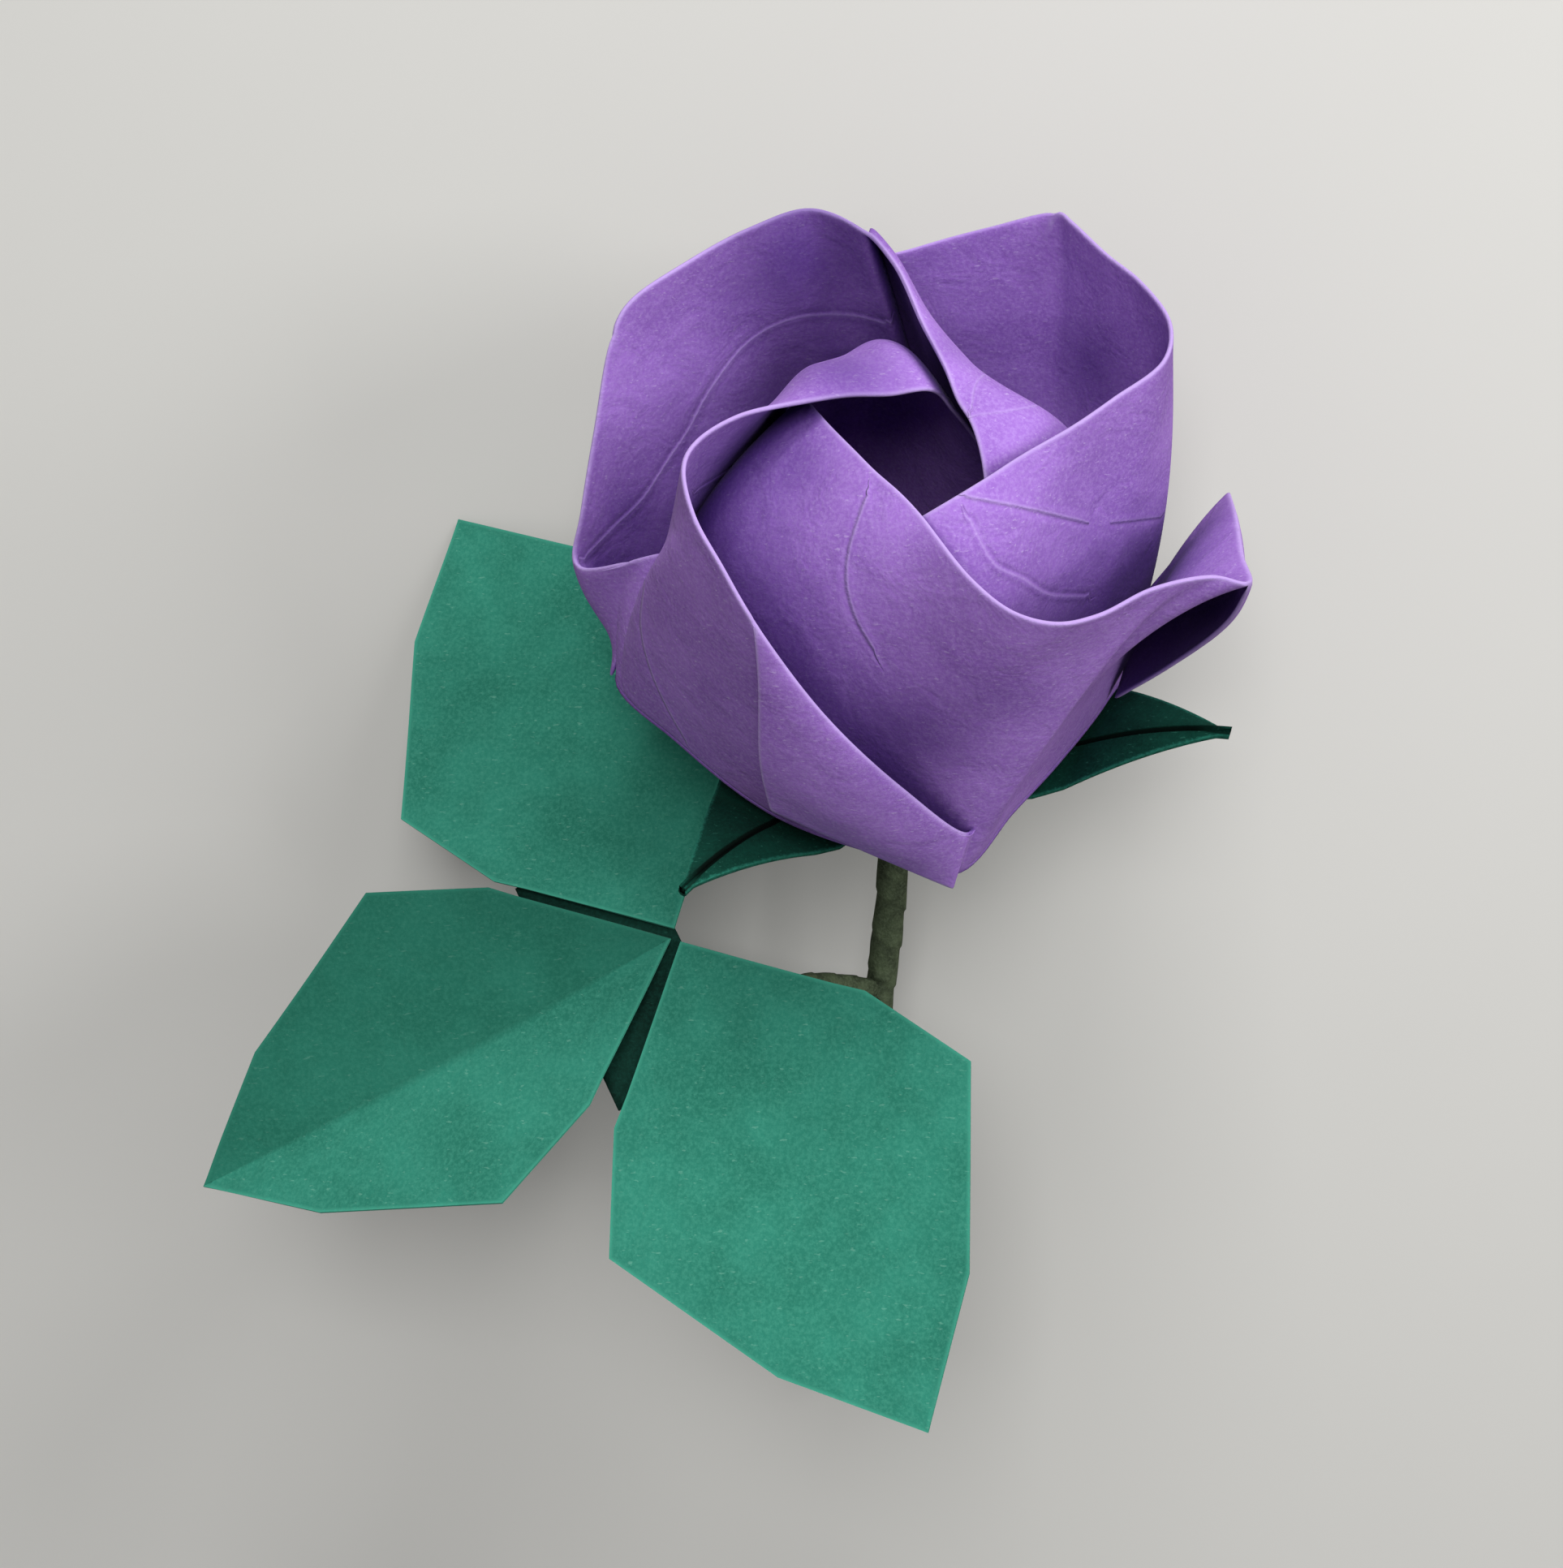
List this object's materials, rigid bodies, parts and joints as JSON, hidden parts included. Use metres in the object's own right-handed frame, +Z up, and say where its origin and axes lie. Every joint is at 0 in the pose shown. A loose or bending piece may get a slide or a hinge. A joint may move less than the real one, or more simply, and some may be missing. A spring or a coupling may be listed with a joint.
{
  "type": "paper flower",
  "caption": "Folded paper rose with a pointed calyx and a folded three-leaflet leaf on a paper-taped wire stem, lying on its side.",
  "frame": {"origin": "centre of the bounding box, on the surface that the flower lies on", "axes": "+Z up, away from that surface; +Y roughly along the stem towards the bloom; +X to the right of it, away from the leaf"},
  "size_m": [0.1196, 0.1526, 0.0661],
  "materials": {
    "violet_paper": "matt",
    "dark_green_paper": "matt",
    "green_paper": "matt",
    "floral_tape": "matt, crepe",
    "wire": "bright",
    "glue": "cloudy"
  },
  "bodies": {
    "root": {"rose_bloom": "violet_paper", "calyx": "dark_green_paper", "glue": "glue", "stem_wire": "wire", "stem_tape": "floral_tape", "leaf": "green_paper", "stalk_wire": "wire", "stalk_tape": "floral_tape"}
  },
  "joints": []
}
